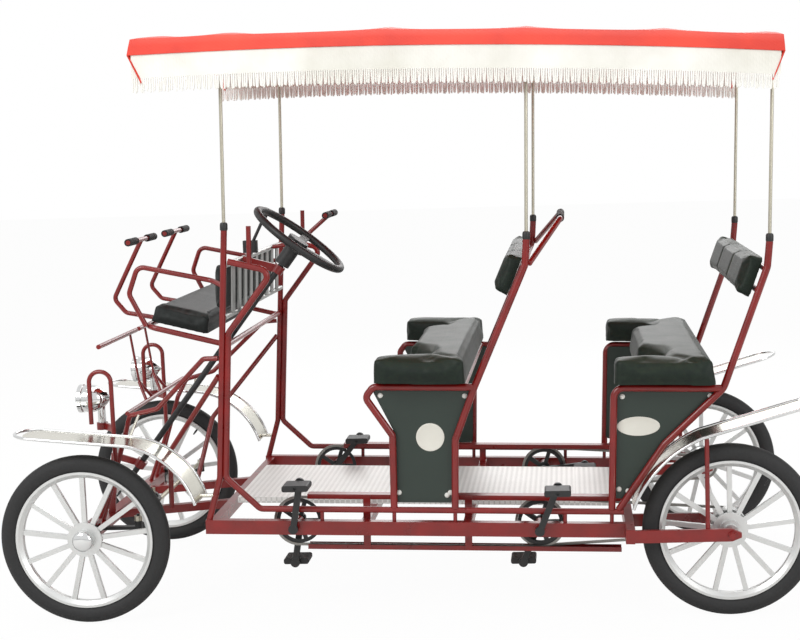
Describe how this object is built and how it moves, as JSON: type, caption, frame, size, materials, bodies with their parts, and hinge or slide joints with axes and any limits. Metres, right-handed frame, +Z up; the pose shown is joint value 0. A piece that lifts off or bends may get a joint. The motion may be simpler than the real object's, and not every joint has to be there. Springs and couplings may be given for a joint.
{
  "type": "pedal cart",
  "caption": "Surrey-style pedal cart with a tube frame, cast wheels, bench seats, a child seat, pedal cranks, steering wheel and fringed canopy.",
  "frame": {"origin": "on the ground under the middle of the wheelbase, midway between the wheels", "axes": "+X to the rear, +Y to the vehicle's right-hand side, +Z up"},
  "size_m": [2.8938, 1.316, 2.0939],
  "materials": {
    "red_enamel": "gloss",
    "tyre_rubber": "matte",
    "cast_aluminium": "satin",
    "black_steel": "satin",
    "black_plastic": "satin",
    "green_vinyl": "grained",
    "black_vinyl": "grained",
    "green_panel": "satin",
    "polished_steel": "polished",
    "chrome_plate": "mirror",
    "clear_glass": "clear",
    "bright_steel": "satin",
    "red_canvas": "woven",
    "white_canvas": "woven",
    "floor_aluminium": "satin",
    "grip_rubber": "matte",
    "dash_steel": "satin"
  },
  "bodies": {
    "chassis": {"brake_lever": "black_plastic", "canopy_frame": "bright_steel", "canopy_poles": "bright_steel", "canopy_top": "red_canvas", "canopy_valance": "white_canvas", "chain_guards": "red_enamel", "chains": "bright_steel", "child_handlebars": "red_enamel", "child_seat_back": "black_vinyl", "child_seat_frame": "red_enamel", "child_seat_pad": "black_vinyl", "column_bracket": "red_enamel", "cross_members": "red_enamel", "dash": "dash_steel", "floor": "floor_aluminium", "foot_bars": "red_enamel", "front_axle": "red_enamel", "front_backrest": "green_vinyl", "front_bench_bars": "red_enamel", "front_bench_sides": "red_enamel", "front_cushion": "green_vinyl", "front_fenders": "polished_steel", "front_tubes": "red_enamel", "grab_bar": "red_enamel", "hand_grips": "grip_rubber", "headlamp_lenses": "clear_glass", "headlamps": "chrome_plate", "lamp_hoops": "red_enamel", "passenger_bar": "red_enamel", "rails": "red_enamel", "rear_backrest": "green_vinyl", "rear_bench_bars": "red_enamel", "rear_bench_sides": "red_enamel", "rear_cushion": "green_vinyl", "rear_fenders": "polished_steel", "rear_forks": "red_enamel", "side_panels": "green_panel", "uprights": "red_enamel"},
    "steering": {"steering_wheel": "black_plastic", "steering_column": "black_steel"},
    "tie_rod_link": {"tie_rod": "bright_steel"},
    "knuckle_left_body": {"knuckle_left": "black_steel"},
    "knuckle_right_body": {"knuckle_right": "black_steel"},
    "wheel_front_left_body": {"wheel_front_left": "cast_aluminium", "tyre_front_left": "tyre_rubber"},
    "crank_front_left_body": {"crank_front_left": "black_steel", "pedals_front_left": "black_plastic"},
    "wheel_front_right_body": {"wheel_front_right": "cast_aluminium", "tyre_front_right": "tyre_rubber"},
    "crank_front_right_body": {"crank_front_right": "black_steel", "pedals_front_right": "black_plastic"},
    "wheel_rear_left_body": {"wheel_rear_left": "cast_aluminium", "tyre_rear_left": "tyre_rubber"},
    "crank_rear_left_body": {"crank_rear_left": "black_steel", "pedals_rear_left": "black_plastic"},
    "wheel_rear_right_body": {"wheel_rear_right": "cast_aluminium", "tyre_rear_right": "tyre_rubber"},
    "crank_rear_right_body": {"crank_rear_right": "black_steel", "pedals_rear_right": "black_plastic"}
  },
  "joints": [
    {"name": "steering_turn", "type": "hinge", "parent": "chassis", "child": "steering", "pos_m": [-0.38, -0.25, 1.335], "axis": [0.6115, 0, 0.7912], "range_deg": [-43.75, 43.75]},
    {"name": "knuckle_left_turn", "type": "hinge", "parent": "chassis", "child": "knuckle_left_body", "pos_m": [-1.142, -0.462, 0.305], "axis": [0, 0, 1], "range_deg": [-28, 28]},
    {"name": "knuckle_right_turn", "type": "hinge", "parent": "chassis", "child": "knuckle_right_body", "pos_m": [-1.142, 0.462, 0.305], "axis": [0, 0, 1], "range_deg": [-28, 28]},
    {"name": "tie_rod_turn", "type": "hinge", "parent": "knuckle_left_body", "child": "tie_rod_link", "pos_m": [-0.97298, -0.462, 0.35689], "axis": [0, 0, 1], "range_deg": [-28, 28]},
    {"name": "wheel_front_left_spin", "type": "hinge", "parent": "knuckle_left_body", "child": "wheel_front_left_body", "pos_m": [-1.142, -0.545, 0.305], "axis": [0, 1, 0], "continuous": true},
    {"name": "wheel_front_right_spin", "type": "hinge", "parent": "knuckle_right_body", "child": "wheel_front_right_body", "pos_m": [-1.142, 0.545, 0.305], "axis": [0, 1, 0], "continuous": true},
    {"name": "wheel_rear_left_spin", "type": "hinge", "parent": "chassis", "child": "wheel_rear_left_body", "pos_m": [1.142, -0.545, 0.305], "axis": [0, 1, 0], "continuous": true},
    {"name": "wheel_rear_right_spin", "type": "hinge", "parent": "chassis", "child": "wheel_rear_right_body", "pos_m": [1.142, 0.545, 0.305], "axis": [0, 1, 0], "continuous": true},
    {"name": "crank_front_left_spin", "type": "hinge", "parent": "chassis", "child": "crank_front_left_body", "pos_m": [-0.38982, -0.5, 0.33283], "axis": [0, 1, 0], "continuous": true},
    {"name": "crank_front_right_spin", "type": "hinge", "parent": "chassis", "child": "crank_front_right_body", "pos_m": [-0.38982, 0.5, 0.33283], "axis": [0, 1, 0], "continuous": true},
    {"name": "crank_rear_left_spin", "type": "hinge", "parent": "chassis", "child": "crank_rear_left_body", "pos_m": [0.47991, -0.5, 0.31112], "axis": [0, 1, 0], "continuous": true},
    {"name": "crank_rear_right_spin", "type": "hinge", "parent": "chassis", "child": "crank_rear_right_body", "pos_m": [0.47991, 0.5, 0.31112], "axis": [0, 1, 0], "continuous": true}
  ],
  "couplings": [
    {"joint": "knuckle_left_turn", "follows": "steering_turn", "ratio": 0.64},
    {"joint": "knuckle_right_turn", "follows": "steering_turn", "ratio": 0.64},
    {"joint": "tie_rod_turn", "follows": "steering_turn", "ratio": -0.64}
  ]
}
